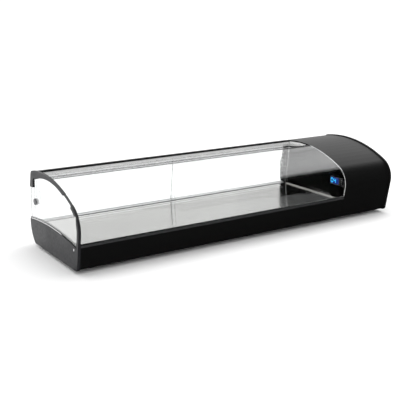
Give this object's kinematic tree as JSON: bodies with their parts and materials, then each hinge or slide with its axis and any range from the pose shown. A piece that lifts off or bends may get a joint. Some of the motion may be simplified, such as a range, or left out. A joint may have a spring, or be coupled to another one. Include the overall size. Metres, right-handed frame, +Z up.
{
  "type": "refrigerated display case",
  "caption": "Countertop refrigerated display case with a curved glass front, rear sliding doors, a flat serving deck and a closed machine hood at one end.",
  "frame": {"origin": "centre of the footprint, on the surface that the feet stand on", "axes": "+X along the case towards the machine hood, -Y towards the customer, +Z up"},
  "size_m": [1.411, 0.4239, 0.2889],
  "materials": {
    "pan": "satin black powder coat",
    "gloss_black": "gloss black",
    "moulding": "fine-textured black moulding",
    "seal": "dark grey glazing seal",
    "rail": "dark anodised extrusion",
    "stainless": "brushed",
    "bright": "polished",
    "glass": "clear",
    "acrylic": "clear acrylic sheet",
    "foam": "foamed insulation",
    "copper": "drawn copper tube",
    "aluminium": "mill finish fins",
    "galvanised": "zinc plated",
    "machine": "black enamel",
    "cover": "black moulding",
    "rubber": "matte",
    "buffer": "mid grey",
    "fan": "dark grey moulding",
    "inlet": "black",
    "rocker": "black",
    "bezel": "black",
    "lens": "blue display window",
    "key": "grey"
  },
  "bodies": {
    "case": {"base_pan": "pan", "capillary": "copper", "compressor": "machine", "compressor_grommet_1": "rubber", "compressor_grommet_2": "rubber", "compressor_grommet_3": "rubber", "compressor_grommet_4": "rubber", "condenser": "aluminium", "controller_bezel": "bezel", "controller_lens": "lens", "deck_plate": "stainless", "discharge_line": "copper", "evaporator_coil": "copper", "fan_motor": "galvanised", "fan_shroud": "cover", "filter_drier": "copper", "foot_front_left": "rubber", "foot_front_right": "rubber", "foot_rear_left": "rubber", "foot_rear_right": "rubber", "front_fascia": "gloss_black", "front_glass": "glass", "glass_channel": "seal", "glass_seam": "seal", "hood": "gloss_black", "insulation_block": "foam", "left_arc_trim": "seal", "left_buffer_cap": "buffer", "left_cap_screw": "bright", "left_door_buffer": "buffer", "left_door_jamb": "acrylic", "left_end_cap": "moulding", "left_glazing_bead": "bright", "left_side_pane": "glass", "left_top_bracket": "moulding", "liquid_line": "copper", "lower_track": "moulding", "mains_inlet": "inlet", "partition_wall": "moulding", "right_cap_screw": "bright", "right_door_buffer": "buffer", "right_door_jamb": "moulding", "right_end_cap": "moulding", "suction_line": "copper", "switch_frame": "inlet", "terminal_cover": "cover", "top_glass": "glass", "top_rail": "rail", "vent_panel": "pan"},
    "left_door": {"left_door": "acrylic", "left_door_pull": "acrylic"},
    "right_door": {"right_door": "acrylic", "right_door_pull": "acrylic"},
    "fan_rotor": {"fan_rotor": "fan"},
    "power_rocker": {"power_rocker": "rocker"},
    "controller_button_1": {"controller_button_1": "key"},
    "controller_button_2": {"controller_button_2": "key"},
    "controller_button_3": {"controller_button_3": "key"}
  },
  "joints": [
    {"name": "left_door_slide", "type": "slide", "parent": "case", "child": "left_door", "axis": [1, 0, 0], "range_m": [0, 0.545]},
    {"name": "right_door_slide", "type": "slide", "parent": "case", "child": "right_door", "axis": [-1, 0, 0], "range_m": [0, 0.554]},
    {"name": "fan_spin", "type": "hinge", "parent": "case", "child": "fan_rotor", "pos_m": [0.56, 0.13, 0.12], "axis": [0, 1, 0], "continuous": true},
    {"name": "power_rocker_tilt", "type": "hinge", "parent": "case", "child": "power_rocker", "pos_m": [0.662, 0.2043, 0.168], "axis": [1, 0, 0], "range_deg": [0, 12]},
    {"name": "controller_button_1_press", "type": "slide", "parent": "case", "child": "controller_button_1", "axis": [1, 0, 0], "range_m": [0, 0.0007], "stiffness_N_per_m": 400},
    {"name": "controller_button_2_press", "type": "slide", "parent": "case", "child": "controller_button_2", "axis": [1, 0, 0], "range_m": [0, 0.0007], "stiffness_N_per_m": 400},
    {"name": "controller_button_3_press", "type": "slide", "parent": "case", "child": "controller_button_3", "axis": [1, 0, 0], "range_m": [0, 0.0007], "stiffness_N_per_m": 400}
  ]
}
